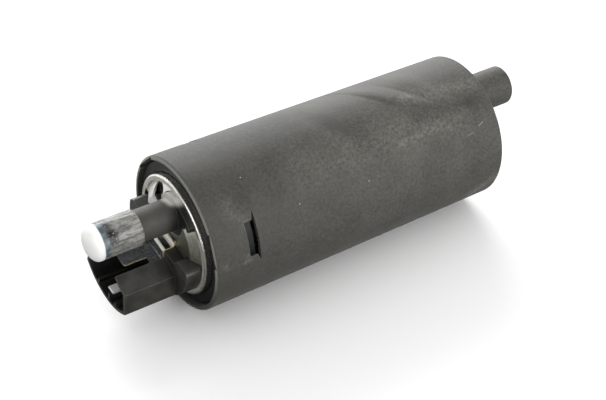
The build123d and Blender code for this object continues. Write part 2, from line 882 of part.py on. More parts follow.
# Impeller: a closed wheel with vane gaps right through it, driven by the shaft's flat
with BuildPart() as impeller:
    with BuildSketch(across(impeller_front)):
        Circle(impeller_radius)
        with PolarLocations(channel_inner, vane_count):
            Rectangle(channel_width, vane_gap_width, align=(Align.MIN, Align.CENTER), mode=Mode.SUBTRACT)
    extrude(amount=impeller_thickness)
    with BuildSketch(across(impeller_front)):
        Circle(shaft_radius + fit_gap)
        with Locations((0, shaft_radius - flat_depth + fit_gap)):
            Rectangle(3 * shaft_radius, shaft_radius, align=(Align.CENTER, Align.MIN), mode=Mode.SUBTRACT)
    extrude(amount=impeller_thickness, mode=Mode.SUBTRACT)
impeller.part.label = "impeller"

# Inlet cover: the other half of the channel, the thrust button's pocket and the inlet neck
with BuildPart() as inlet_cover:
    with BuildSketch(across(pump_ring_back)):
        Circle(seat_radius)
    extrude(amount=cover_end - pump_ring_back)
    with BuildSketch(across(cover_end)):
        with Locations((0, inlet_offset)):
            Circle(neck_radius)
    extrude(amount=neck_length)
    with BuildSketch(across(pump_ring_back)):
        Circle(button_radius + fit_gap)
    extrude(amount=button_start + button_thickness - pump_ring_back, mode=Mode.SUBTRACT)
    with BuildSketch(across(pump_ring_back)):
        band(channel_outer, channel_inner, channel_turn, channel_arc)
    extrude(amount=channel_depth, mode=Mode.SUBTRACT)
    with BuildSketch(across(pump_ring_back)):
        with Locations((0, inlet_offset)):
            Circle(neck_bore)
    extrude(amount=neck_end - pump_ring_back, mode=Mode.SUBTRACT)
inlet_cover.part.label = "inlet_cover"

inlet_o_ring = o_ring(
    neck_end - neck_ring_back, 0, inlet_offset, neck_radius + ring_section, ring_section - fit_gap
)
inlet_o_ring.label = "inlet_o_ring"

# Rubber isolators between the shell and the sleeve
front_isolator_drop = (front_isolator_start + front_isolator_length) * tan(radians(sleeve_draft))
with BuildPart() as front_isolator:
    with BuildSketch(Plane.XZ):
        with Locations((front_isolator_start, shell_radius + fit_gap)):
            front_profile = Rectangle(
                front_isolator_length,
                isolator_thickness - front_isolator_drop,
                align=(Align.MIN, Align.MIN),
            )
        fillet(front_profile.vertices().group_by(Axis.X)[0], front_isolator_round)
    revolve(axis=Axis.X)
front_isolator.part.label = "front_isolator"

rear_outer_radius = sleeve_rear_radius - sleeve_wall - isolator_gap
with BuildPart() as rear_isolator:
    with BuildSketch(across(shell_back - rear_isolator_grip)):
        Circle(rear_outer_radius)
    extrude(amount=rear_isolator_grip + rear_isolator_end)
    with BuildSketch(across(shell_back - rear_isolator_grip)):
        Circle(shell_radius + fit_gap)
    extrude(amount=rear_isolator_grip, mode=Mode.SUBTRACT)
    with BuildSketch(across(shell_back)):
        with Locations((0, inlet_offset)):
            Circle(neck_radius + fit_gap)
    extrude(amount=rear_isolator_end, mode=Mode.SUBTRACT)
rear_isolator.part.label = "rear_isolator"

pieces = [
    outer_sleeve.part,
    front_isolator.part,
    rear_isolator.part,
    inlet_o_ring,
    pump_shell.part,
    end_plate.part,
    outlet_cover.part,
    cover_o_ring,
    earth_terminal.part,
    supply_terminal.part,
    dust_cap.part,
    check_valve.part,
    check_valve_spring,
    check_valve_retainer.part,
    relief_ball.part,
    relief_spring,
    relief_plug.part,
    *brushes.values(),
    front_bush,
    rear_bush,
    thrust_washer,
    thrust_button.part,
    shaft.part,
    commutator.part,
    armature_core.part,
    windings.part,
    *field_pieces,
    port_plate.part,
    pump_ring,
    impeller.part,
    inlet_cover.part,
]

os.makedirs("parts", exist_ok=True)
for piece in pieces:
    export_step(piece, f"parts/{piece.label}.step")
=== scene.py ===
import functools
import math

import bmesh
import bpy
from mathutils import Matrix, Vector, noise


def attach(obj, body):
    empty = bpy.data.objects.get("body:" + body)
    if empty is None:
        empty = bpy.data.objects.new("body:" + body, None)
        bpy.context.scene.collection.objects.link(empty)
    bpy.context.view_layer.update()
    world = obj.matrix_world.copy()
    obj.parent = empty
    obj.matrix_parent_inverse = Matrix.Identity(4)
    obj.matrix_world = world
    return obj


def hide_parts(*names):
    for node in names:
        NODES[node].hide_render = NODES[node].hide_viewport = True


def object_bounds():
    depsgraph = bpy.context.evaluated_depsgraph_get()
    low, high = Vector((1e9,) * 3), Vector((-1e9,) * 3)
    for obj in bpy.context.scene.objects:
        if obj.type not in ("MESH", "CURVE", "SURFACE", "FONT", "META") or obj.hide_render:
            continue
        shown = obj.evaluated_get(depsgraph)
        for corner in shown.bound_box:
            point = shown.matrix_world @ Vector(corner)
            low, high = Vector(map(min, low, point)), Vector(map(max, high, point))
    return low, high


bl_info = {
    "name": "Fuel pump in a rubber sleeve",
    "version": (1, 0, 0),
    "blender": (4, 5, 0),
    "location": "View3D > Sidebar > Fuel pump",
    "description": "Dresses the in-tank fuel pump: sleeve, steel rims, mouldings, terminals and dust cap",
    "category": "Object",
}

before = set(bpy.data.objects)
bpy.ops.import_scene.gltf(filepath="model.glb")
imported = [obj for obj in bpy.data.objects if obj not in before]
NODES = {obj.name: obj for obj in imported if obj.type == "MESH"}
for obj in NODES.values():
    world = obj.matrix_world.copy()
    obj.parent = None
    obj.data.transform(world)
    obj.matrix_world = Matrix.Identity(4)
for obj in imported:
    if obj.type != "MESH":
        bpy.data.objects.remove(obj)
CAD_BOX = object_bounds()

MM = 0.001

# The sleeve's outside: place of the mouth and radius there in mm, and how much it narrows for each mm along
SLEEVE_MOUTH = 0.0
SLEEVE_RADIUS = 24.5
SLEEVE_TAPER = 0.00803
# The seam's corners lie this close to the sleeve's outside in mm, and their normals differ by less than this
SEAM_REACH = 0.05
SEAM_ANGLE = math.radians(12)
# The painted reflection on the shell lies only inside this radius, on its lip, in mm
LIP_EDGE = 18.2

# The keyed frame of the outlet end: the nozzle and the connector are turned by this much about the axis, and
# their lines lie at these heights in it, in mm
KEY_ROLL = math.radians(14)
KEY_U = Vector((0, math.cos(KEY_ROLL), math.sin(KEY_ROLL)))
KEY_W = Vector((0, -math.sin(KEY_ROLL), math.cos(KEY_ROLL)))
NOZZLE_W = 10.2
CONNECTOR_W = -9.0
# Times this, a place keeps only what lies across the pump
ACROSS = (0, 1, 1)

# Dust cap, in mm along the pump and from the nozzle's line: its rim, the end of the nozzle inside it, its
# floor, where the dome begins, its tip and its radii. The inner wall begins a little past the floor.
CAP_RIM = -13.8
NOZZLE_END = -24.4
CAP_FLOOR = -26.2
CAP_SHOULDER = -27.1
CAP_TIP = -30.1
CAP_OUTER = 5.58
CAP_INNER = 5.3
CAP_CORNER = 0.25
# Its mesh: corners round, and rings along the tube, the dome and the inner wall
CAP_ROUND = 120
CAP_RINGS = 24
DOME_RINGS = 12
WALL_RINGS = 12
# Its wrinkles: how strong they are where the dome begins and on the inner wall, against 1 at the rim, how far
# in mm they press the outer and the inner wall in at most, and above which height of the noise there is none
DOME_WRINKLE = 0.45
INNER_WRINKLE = 0.35
PRESSED_OUTSIDE = 0.22
PRESSED_INSIDE = 0.12
UNWRINKLED = 0.25
# The noise that they follow: its strength, its fineness round the cap, its start and its change for each mm
CAP_FOLDS = (
    (1.0, 5.0, 0.0, 0.06),
    (0.5, 11.0, 4.0, 0.10),
)

# Marks on the sleeve: both ends as (mm along the pump, degrees from the top towards the viewer), the half
# width in mm and how strong it is. Scuffs and scratches are paler than the rubber, and smears are darker;
# the first smear, on the top near the mouth, is painted shade.
SCUFFS = (
    ((35, 41), (78, 45), 11.0, 0.30),
    ((52, 34), (92, 43), 9.0, 0.44),
    ((70, 48), (89, 47), 3.0, 0.70),
    ((80, 16), (104, 23), 5.0, 0.60),
    ((97, 124), (105, 108), 3.5, 0.90),
    ((2.6, 85), (12.4, 85), 1.2, 0.50),
    ((8, 44), (12, 62), 4.5, 0.40),
)
SCRATCHES = (
    ((99.5, 56.5), (101.2, 54.5), 0.26, 1.1),
    ((94.2, 60.7), (96.8, 59.5), 0.18, 0.8),
)
SMEARS_AND_SHADE = (
    ((2, -16), (40, -8), 10.0, 1.0),
    ((46, -12), (58, 31), 6.5, 0.8),
    ((80, 34), (101, 37), 4.0, 0.9),
)
# Where the rubber has swollen over the shell: low lobes, and the creases between them
SWELLINGS = (
    ((62, -34), (69.1, -12), 5.0, 0.8),
    ((69.1, -12), (76.2, 10), 5.0, 1.0),
    ((76.2, 10), (83, 22), 4.0, 0.7),
    ((78, -34), (83.3, -13), 6.0, 0.7),
    ((83.3, -13), (87.4, 12), 6.0, 0.8),
)
CREASES = (
    ((59, -34), (65.5, -13), 1.7, 0.8),
    ((65.5, -13), (69, 1.5), 1.7, 1.0),
    ((69, 1.5), (75.4, 19), 1.7, 0.8),
    ((73.2, -30), (77.1, -6), 1.5, 0.7),
    ((77.1, -6), (82.6, 14.5), 1.5, 1.0),
    ((82.6, 14.5), (88, 25), 1.5, 0.8),
)
# Pale specks: mm along the pump and degrees from the top towards the viewer
SPECKS = ((30.5, 61.4), (55.3, 64.6), (16.1, 29.4))

# Marks at the outlet end: both ends in the keyed frame and the half width in mm, and how strong it is. The
# lip's pale patch and the plate's dark patch are painted reflections, the plate's white patch, the boss's
# pale top, the strip's bends and the blade's tip are painted highlights, and the nozzle's root is painted
# shade.
LIP_REFLECTION = (((-2, -17.0, 6.0), (-2, -13.0, -12.0), 9.0, 1.0),)
PLATE_DARK_REFLECTION = (((-2, -8, 2), (-2, -14, 8), 9.0, 0.75),)
PLATE_HIGHLIGHT = (((-1.2, 14.5, 2.0), (-1.2, 1.0, 16.0), 5.5, 1.0),)
NOZZLE_DULL = (((-30, 0, NOZZLE_W), (-3.4, 0, NOZZLE_W), 5.4, 1.0),)
NOZZLE_ROOT = (((-2.3, -7.0, 8.0), (-2.3, -5.5, 15.0), 4.6, 0.85),)
BOSS_HIGHLIGHT = (((-1.6, 6.4, 14), (-1.6, -1.5, 18.2), 3.6, 0.9),)
BLOCK_DARKER = (((-3.0, -8.0, -1.5), (-4.0, -11.5, -6.0), 5.0, 0.7),)
STRIP_BEND_HIGHLIGHTS = (
    ((-6.4, -4.2, 0.35), (-6.4, 4.2, 0.35), 1.15, 1.0),
    ((-2.9, -4.2, 0.9), (-2.9, 4.2, 0.9), 1.2, 1.0),
)
BLADE_GLINT = (((-21.8, -1.7, -12.2), (-19.9, -1.7, -12.2), 2.2, 1.0),)
CAP_PINCHED = (((-24.3, 4.2, NOZZLE_W + 3.6), (-23.4, -3.8, NOZZLE_W + 4.0), 2.8, 1.0),)

# Dark tones of the sleeve's rubber, for oily smears and painted shade, and of the outlet cover's polyamide,
# for painted shade and a darker patch
RUBBER_OIL_AND_SHADE = "#363531"
DARK_MOULDING = "#131311"

# Floor: half its width in m, its glow to the camera near the object and far off, where that glow begins and
# ends to rise in m, its tones under the object and in reflections, and where these turn white along Y in m
FLOOR_HALF = 3.0
FLOOR_GLOW = (0.02, 0.25)
FLOOR_GLOW_RISE = (0.3, 0.9)
FLOOR_TONE = "#8c8c8a"
FLOOR_MIRRORED = "#7c7c79"
FLOOR_MIRROR_WHITE = (0.03, 0.16)
# Room: its even light, and in reflections the direction of its bright side and of its window, and how bright
# the window and the rest show there
WORLD_LIGHT = 0.85
BRIGHT_SIDE = (-0.15, 0.95, 0.10)
BRIGHT_WINDOW = (-0.88, -0.30, 0.28)
WINDOW_LIGHT = 1.6
DIM_SIDE = 0.08
# Lamps: place and size in m, power in W, and the point that they shine at
LAMPS = (
    ("soft_box_back", (0.36, 0.80, 0.43), (0.7, 0.5), 7.8),
    ("soft_box_front", (0.33, -0.93, 0.25), (0.8, 0.5), 5.0),
)
LAMP_AIM = Vector((0.04, 0, 0))
# Camera: its place in mm, how it is turned, tilted and rolled in degrees, the frame's width and the distance
# of the picture from the lens in pixels, and the sensor's width in mm
CAMERA_PLACE = Vector((-155.47, -299.01, 256.49))
CAMERA_ANGLES = (-33.974, 36.067, 0.078)
FRAME_WIDTH = 606
FOCAL_LENGTH = 1416.711
SENSOR_WIDTH = 36.0


def linear(code):
    """sRGB hex to the linear colour that Blender works in."""
    parts = [int(code[i : i + 2], 16) / 255 for i in (1, 3, 5)]
    return [c / 12.92 if c <= 0.04045 else ((c + 0.055) / 1.055) ** 2.4 for c in parts]


def rgba(code):
    return (*linear(code), 1.0)


def keyed(x, u, w):
    """Point of the keyed frame, in millimetres, as metres of the shared frame."""
    return Vector((x * MM, 0, 0)) + KEY_U * (u * MM) + KEY_W * (w * MM)


# Nodes of a material


def add_node(tree, kind, inputs=(), output=None, **settings):
    """Adds a node with its settings, and its inputs by name or in the order of those in use.

    An input that is a socket is linked. It gives back the output of that name, or else the first one in use.
    """
    node = tree.nodes.new("ShaderNode" + kind)
    for name, value in settings.items():
        setattr(node, name, value)
    if isinstance(inputs, dict):
        pairs = [(node.inputs[name], value) for name, value in inputs.items()]
    else:
        pairs = zip([socket for socket in node.inputs if socket.enabled], inputs)
    for socket, value in pairs:
        if isinstance(value, bpy.types.NodeSocket):
            tree.links.new(value, socket)
        else:
            socket.default_value = value
    if output:
        return node.outputs[output]
    return next((socket for socket in node.outputs if socket.enabled), None)


# Settings that many nodes share: a value held at both ends, with a soft turn between, and a mix of colours
HELD = {"interpolation_type": "SMOOTHSTEP"}
COLOURS = {"data_type": "RGBA"}


def new_material(name):
    """Empty material, what adds a node to it, and the coordinates of the shared frame."""
    material = bpy.data.materials.new(name)
    material.use_nodes = True
    material.node_tree.nodes.clear()
    add = functools.partial(add_node, material.node_tree)
    return material, add, add("TexCoord", output="Object")


def grain(add, place, size_mm, detail=2.0, stretch=(1, 1, 1), roughness=0.5):
    """Noise whose features are about size_mm across, drawn out by stretch along X, Y and Z."""
    scale = tuple(1 / (size_mm * MM * s) for s in stretch)
    moved = add("Mapping", {"Vector": place, "Scale": scale})
    return add("TexNoise", {"Vector": moved, "Scale": 1.0, "Detail": detail, "Roughness": roughness})


def soft_edge(add, radius_mm):
    """Normal that turns round the edges, as a small radius does, and a mask that is 1 along them."""
    rounded = add("Bevel", {"Radius": radius_mm * MM}, samples=4)
    plain = add("NewGeometry", output="Normal")
    alike = add("VectorMath", (rounded, plain), operation="DOT_PRODUCT")
    edges = add("MapRange", (alike, 0.8, 0.985, 1.0, 0.0), **HELD)
    return rounded, edges


def wandering(add, place, size_mm, reach_mm):
    """The place moved about by noise, so that what is drawn with it gets a ragged outline."""
    scale = 1 / (size_mm * MM)
    drift = add(
        "TexNoise", {"Vector": place, "Scale": scale, "Detail": 4.0, "Roughness": 0.6}, output="Color"
    )
    reach = (2 * reach_mm * MM,) * 3
    moved = add("VectorMath", (drift, reach, place), operation="MULTIPLY_ADD")
    return add("VectorMath", (moved, (reach_mm * MM,) * 3), operation="SUBTRACT")


def on_sleeve(x, degrees):
    """Point on the sleeve's outside, from mm along the pump and degrees from the top towards the viewer."""
    radius = (SLEEVE_RADIUS - x * SLEEVE_TAPER) * MM
    angle = math.radians(degrees)
    return Vector((x * MM, -radius * math.sin(angle), radius * math.cos(angle)))


def stroke(add, place, start, end, half_width_mm, soft=0.25):
    """Mask that is 1 on the line from start to end and fades out at half_width_mm from it."""
    run = end - start
    offset = add("VectorMath", (place, start), operation="SUBTRACT")
    along = add("VectorMath", (offset, run / run.length_squared), operation="DOT_PRODUCT")
    held = add("Clamp", {"Value": along})
    foot = add("VectorMath", (run, held), operation="SCALE")
    away = add("VectorMath", (offset, foot), operation="DISTANCE")
    return add("MapRange", (away, half_width_mm * MM * soft, half_width_mm * MM, 1.0, 0.0), **HELD)


def strokes(add, place, table, at, soft=0.0):
    """Mask of a table's strokes, the strongest where they cross, with at as the function for their points."""
    mask = None
    for start, end, half_width, amount in table:
        near = stroke(add, place, at(*start), at(*end), half_width, soft)
        near = add("Math", (near, amount), operation="MULTIPLY")
        mask = near if mask is None else add("Math", (mask, near), operation="MAXIMUM")
    return mask


# Materials


def nitrile_rubber(look):
    """Nitrile rubber, compression moulded in a blasted mould: dull and warm grey, a fine mottle of talc and
    of wax that has come out at the surface, shallow waves where the wall is thin, pale scuffs where hands
    wore it, painted shade at the mouth end and a painted highlight round the mouth's upper side."""
    material, add, place = new_material("nitrile_rubber_moulded")
    # Real talc grains are finer than the render shows, so the mottle is drawn as coarse as it needs to show
    mottle = grain(add, place, 0.85, 5.0, roughness=0.7)
    cloud = grain(add, place, 11.0, 3.0)
    waves = grain(add, place, 4.5, 2.0, stretch=(1.6, 1, 1))
    fine = add("Math", (mottle, 0.75), operation="MULTIPLY")
    tone = add("Math", (fine, add("Math", (cloud, 0.25), operation="MULTIPLY")), operation="ADD")
    shade = add("MapRange", (tone, 0.33, 0.67), **HELD)
    base = add("Mix", (shade, (*look.sleeve_dark, 1), (*look.sleeve_light, 1)), **COLOURS)
    # Painted shade: the mouth end is darker
    along = add("SeparateXYZ", (place,), output="X")
    mouth_shade = add("MapRange", (along, 0.0, 70 * MM, 0.45, 0.0), **HELD)
    base = add("Mix", (mouth_shade, base, rgba(RUBBER_OIL_AND_SHADE)), **COLOURS)
    # Scuffs and smears, placed where the photograph shows them, with ragged outlines and broken up by grain.
    # The first smear is painted shade.
    ragged = wandering(add, place, 9.0, 4.0)
    broken = add("MapRange", (grain(add, place, 0.9, 5.0, roughness=0.75), 0.34, 0.66), **HELD)
    scuffed = add("Math", (strokes(add, ragged, SCUFFS, on_sleeve), broken), operation="MULTIPLY")
    smears_and_shade = add("Math", (strokes(add, ragged, SMEARS_AND_SHADE, on_sleeve), 0.75), operation="MULTIPLY")
    base = add("Mix", (smears_and_shade, base, rgba(RUBBER_OIL_AND_SHADE)), **COLOURS)
    # Fine random scratches in two directions, only here and there, and the two long ones at the far end
    worked = add("MapRange", (grain(add, place, 14.0, 2.0), 0.5, 0.66), **HELD)
    for stretch, size in (((26, 1, 1), 0.42), ((1, 9, 9), 0.40)):
        line = grain(add, place, size, 2.0, stretch=stretch)
        line = add("MapRange", (line, 0.68, 0.8, 0.0, 0.25), **HELD)
        line = add("Math", (line, worked), operation="MULTIPLY")
        scuffed = add("Math", (scuffed, line), operation="MAXIMUM")
    scuffed = add("Math", (scuffed, strokes(add, place, SCRATCHES, on_sleeve, 0.3)), operation="MAXIMUM")
    scuffed = add("Math", (scuffed, 0.5), operation="MULTIPLY")
    worn_and_highlit = add("Mix", (scuffed, base, rgba("#a5a49a")), **COLOURS)
    for spot in SPECKS:
        here = on_sleeve(*spot)
        speck = stroke(add, place, here, here + Vector((0.1 * MM, 0, 0)), 0.2, 0.5)
        worn_and_highlit = add("Mix", (speck, worn_and_highlit, rgba("#b8b6ab")), **COLOURS)
    # Painted highlights: a pale line round the mouth's upper side, and paler edges
    height = add("SeparateXYZ", (place,), output="Z")
    upper = add("MapRange", (height, -14 * MM, 4 * MM), **HELD)
    mouth = add("MapRange", (along, SLEEVE_MOUTH * MM, (SLEEVE_MOUTH + 0.5) * MM, 0.7, 0.0), **HELD)
    mouth = add("Math", (mouth, upper), operation="MULTIPLY")
    rounded, edges = soft_edge(add, 0.25)
    edges = add("Math", (edges, 0.5), operation="MULTIPLY")
    edges = add("Math", (edges, mouth), operation="MAXIMUM")
    worn_and_highlit = add("Mix", (edges, worn_and_highlit, rgba("#a09f96")), **COLOURS)
    # Relief: the swollen lobes, the creases between them, the waves and the mottle, each on the one before
    swollen = strokes(add, place, SWELLINGS, on_sleeve)
    relief = add("Bump", {"Height": swollen, "Distance": 0.5 * MM, "Normal": rounded})
    creased = add("Math", (1.0, strokes(add, place, CREASES, on_sleeve)), operation="SUBTRACT")
    relief = add("Bump", {"Height": creased, "Distance": 0.12 * MM, "Normal": relief})
    relief = add("Bump", {"Height": waves, "Distance": 0.1 * MM, "Normal": relief})
    relief = add("Bump", {"Height": mottle, "Distance": 0.06 * MM, "Normal": relief})
    shader = add(
        "BsdfPrincipled",
        {
            "Base Color": worn_and_highlit,
            "Roughness": add("MapRange", (mottle, 0.3, 0.7, 0.6, 0.74), **HELD),
            "IOR": 1.52,
            "Normal": relief,
            "Sheen Weight": 0.14,
            "Sheen Roughness": 0.45,
        },
    )
    add("OutputMaterial", {"Surface": shader})
    return material


def black_rubber():
    """Black rubber, compression moulded, swollen with fuel and oily: nearly black and slightly blue, with a
    weak soft shine and faint flow marks."""
    material, add, place = new_material("isolator_rubber_moulded")
    flow = grain(add, place, 3.0, 3.0)
    pits = grain(add, place, 2.0, 2.0)
    shade = add("MapRange", (flow, 0.35, 0.65), **HELD)
    colour = add("Mix", (shade, rgba("#0a0c0e"), rgba("#121618")), **COLOURS)
    shader = add(
        "BsdfPrincipled",
        {
            "Base Color": colour,
            "Roughness": add("MapRange", (pits, 0.3, 0.7, 0.48, 0.52), **HELD),
            "IOR": 1.45,
            "Normal": add("Bump", {"Height": flow, "Distance": 0.01 * MM}),
        },
    )
    add("OutputMaterial", {"Surface": shader})
    return material


def drawn_steel():
    """Drawn steel tube with a bright zinc plate, its rims rolled: a clean shine, faintly yellow where it is
    stained, and, as a painted reflection, less metallic and pale low on the near side of the lip."""
    material, add, place = new_material("drawn_steel_bright")
    blotch = grain(add, place, 2.6, 3.0)
    # Painted reflection: low on the near side of the lip the steel is less metallic, so that it shows pale
    lip_reflection = strokes(add, place, LIP_REFLECTION, keyed, 0.6)
    across = add("VectorMath", (place, ACROSS), operation="MULTIPLY")
    radius = add("VectorMath", (across,), operation="LENGTH")
    on_lip = add("MapRange", (radius, LIP_EDGE * MM, (LIP_EDGE + 0.2) * MM, 1.0, 0.0), **HELD)
    lip_reflection = add("Math", (lip_reflection, on_lip), operation="MULTIPLY")
    shade = add("MapRange", (blotch, 0.42, 0.66), **HELD)
    shader = add(
        "BsdfPrincipled",
        {
            "Base Color": add("Mix", (shade, rgba("#f2f1eb"), rgba("#dddbd1")), **COLOURS),
            "Metallic": add("MapRange", (lip_reflection, 0.0, 1.0, 1.0, 0.45), **HELD),
            "Roughness": add("MapRange", (blotch, 0.3, 0.7, 0.26, 0.32), **HELD),
        },
    )
    add("OutputMaterial", {"Surface": shader})
    return material


def zinc_plate():
    """Steel stamping, zinc plated and yellow passivated: a soft bright shine, a painted highlight in white on
    the upper far side, and a painted dark reflection, dull and mottled greenish, low on the near side."""
    material, add, place = new_material("zinc_plated_stamping")
    patches = grain(add, place, 3.2, 3.0)
    specks = grain(add, place, 0.7, 3.0)
    shade = add("MapRange", (patches, 0.35, 0.65), **HELD)
    colour = add("Mix", (shade, rgba("#e9e8de"), rgba("#d3d3c6")), **COLOURS)
    # Painted dark reflection, mottled greenish, low on the near side
    dark_reflection = strokes(add, wandering(add, place, 3.0, 1.5), PLATE_DARK_REFLECTION, keyed, 0.3)
    shade = add("MapRange", (specks, 0.4, 0.66), **HELD)
    blotch = add("Mix", (shade, rgba("#8b8d7e"), rgba("#66695e")), **COLOURS)
    colour = add("Mix", (dark_reflection, colour, blotch), **COLOURS)
    # Painted highlight: white, and less metallic, on the upper far side
    white_highlight = add("MapRange", (patches, 0.2, 0.5, 0.9, 1.0), **HELD)
    white_highlight = add("Math", (white_highlight, strokes(add, place, PLATE_HIGHLIGHT, keyed, 0.4)), operation="MULTIPLY")
    colour = add("Mix", (white_highlight, colour, rgba("#fbfaf4")), **COLOURS)
    rounded, _ = soft_edge(add, 0.15)
    shader = add(
        "BsdfPrincipled",
        {
            "Base Color": colour,
            "Metallic": add("Math", (1.0, white_highlight), operation="SUBTRACT"),
            "Roughness": add("MapRange", (patches, 0.3, 0.7, 0.36, 0.44), **HELD),
            "Normal": add("Bump", {"Height": patches, "Distance": 0.02 * MM, "Normal": rounded}),
        },
    )
    add("OutputMaterial", {"Surface": shader})
    return material


def filled_polyamide(look):
    """Glass-filled polyamide, injection moulded in a finely sparked mould: charcoal and satin, with a faint
    grey haze where fibres come near the surface, and dulled on the nozzle. Painted highlights make it pale
    along its edges and on the boss's upper side, painted shade darkens the nozzle's root and the
    connector's inside, and the base block's near side is darker."""
    material, add, place = new_material("glass_filled_polyamide")
    haze = grain(add, place, 5.0, 4.0)
    # Real glass fibres are about 0.01 mm thick, so they are drawn as coarse as they need to show
    fibres = grain(add, place, 0.5, 3.0, stretch=(5, 1, 1))
    shade = add("MapRange", (haze, 0.35, 0.65), **HELD)
    colour = add("Mix", (shade, (*look.moulding_dark, 1), (*look.moulding_light, 1)), **COLOURS)
    hazy = add("MapRange", (fibres, 0.6, 0.76, 0.0, 0.35), **HELD)
    colour = add("Mix", (hazy, colour, rgba("#55534e")), **COLOURS)
    on_nozzle = strokes(add, place, NOZZLE_DULL, keyed, 0.95)
    dulled = add("Mix", (haze, rgba("#3a3936"), rgba("#53514c")), **COLOURS)
    colour = add("Mix", (on_nozzle, colour, dulled), **COLOURS)
    # Painted highlight: the boss is pale on its upper side. Painted shade: it is dark at the nozzle's root
    painted_highlight = strokes(add, wandering(add, place, 2.0, 0.6), BOSS_HIGHLIGHT, keyed, 0.5)
    colour = add("Mix", (painted_highlight, colour, rgba("#cccbc5")), **COLOURS)
    # Painted shade in the corner at the nozzle's root
    root = strokes(add, place, NOZZLE_ROOT, keyed, 0.4)
    colour = add("Mix", (root, colour, rgba(DARK_MOULDING)), **COLOURS)
    # The near side of the base block is darker too
    oily = strokes(add, wandering(add, place, 2.0, 0.5), BLOCK_DARKER, keyed, 0.3)
    colour = add("Mix", (oily, colour, rgba(DARK_MOULDING)), **COLOURS)
    # Painted shade: inside the connector it is black, where its walls face its middle line
    middle = keyed(0, 0, CONNECTOR_W)
    across = add("VectorMath", (place, ACROSS), operation="MULTIPLY")
    inward = add("VectorMath", (middle, across), operation="SUBTRACT")
    facing = add("NewGeometry", output="Normal")
    turned = add("VectorMath", (inward, facing), operation="DOT_PRODUCT")
    height = add("VectorMath", (place, KEY_W), operation="DOT_PRODUCT")
    low = add("MapRange", (height, -3 * MM, -1.5 * MM, 1.0, 0.0), **HELD)
    axial = add("SeparateXYZ", (place,), output="X")
    forward = add("MapRange", (axial, -7.5 * MM, -6.5 * MM, 1.0, 0.0), **HELD)
    inside = add("MapRange", (turned, 0.2 * MM, 1.2 * MM, 0.0, 0.9), **HELD)
    for limit in (low, forward):
        inside = add("Math", (inside, limit), operation="MULTIPLY")
    colour = add("Mix", (inside, colour, rgba("#0d0d0c")), **COLOURS)
    # Painted highlights: pale along the edges
    rounded, edges = soft_edge(add, look.edge_round / MM)
    edges = add("Math", (edges, 0.75), operation="MULTIPLY")
    colour = add("Mix", (edges, colour, rgba("#a19f99")), **COLOURS)
    satin = add("MapRange", (fibres, 0.3, 0.7, 0.36, 0.5), **HELD)
    dull = add("Math", (on_nozzle, 0.2), operation="MULTIPLY")
    shader = add(
        "BsdfPrincipled",
        {
            "Base Color": colour,
            "Roughness": add("Math", (satin, dull), operation="ADD"),
            "IOR": 1.53,
            "Normal": add("Bump", {"Height": fibres, "Distance": 0.012 * MM, "Normal": rounded}),
        },
    )
    add("OutputMaterial", {"Surface": shader})
    return material


def tinned_brass():
    """Tin-plated brass strip, blanked and bent: grey tin on the faces, painted highlights in white at the
    bends and at the supply blade's tip, and bare brass on the cut edges."""
    material, add, place = new_material("tinned_brass_strip")
    rub = grain(add, place, 0.6, 3.0, stretch=(6, 1, 1))
    tarnish = grain(add, place, 0.7, 4.0)
    shade = add("MapRange", (tarnish, 0.4, 0.64), **HELD)
    colour = add("Mix", (shade, rgba("#a9abad"), rgba("#85888b")), **COLOURS)
    # Painted highlights: white at the bends
    painted_highlight = strokes(add, place, STRIP_BEND_HIGHLIGHTS, keyed, 0.5)
    colour = add("Mix", (painted_highlight, colour, rgba("#fdfbf0")), **COLOURS)
    # Painted highlight: the tip of the supply blade is whitest
    tip = strokes(add, place, BLADE_GLINT, keyed, 0.6)
    facing = add("NewGeometry", output="Normal")
    sideways = add("VectorMath", (facing, KEY_U), operation="DOT_PRODUCT")
    # The cut edges face to the sides
    cut = add("MapRange", (add("Math", (sideways,), operation="ABSOLUTE"), 0.5, 0.75), **HELD)
    colour = add("Mix", (cut, colour, rgba("#f3e3ad")), **COLOURS)
    colour = add("Mix", (tip, colour, rgba("#ffffff")), **COLOURS)
    dull = add("Math", (painted_highlight, cut), operation="MAXIMUM")
    # The painted highlights and the cut edges shine less like a metal
    metal = add("MapRange", (dull, 0.0, 1.0, 1.0, 0.4), **HELD)
    metal = add("Math", (metal, add("Math", (tip, 0.6), operation="MULTIPLY")), operation="SUBTRACT")
    roughness = add("MapRange", (rub, 0.3, 0.7, 0.14, 0.24), **HELD)
    roughness = add("Math", (roughness, add("Math", (dull, 0.2), operation="MULTIPLY")), operation="ADD")
    rounded, _ = soft_edge(add, 0.12)
    shader = add(
        "BsdfPrincipled",
        {
            "Base Color": colour,
            "Metallic": metal,
            "Roughness": roughness,
            "Normal": add("Bump", {"Height": rub, "Distance": 0.006 * MM, "Normal": rounded}),
        },
    )
    add("OutputMaterial", {"Surface": shader})
    return material


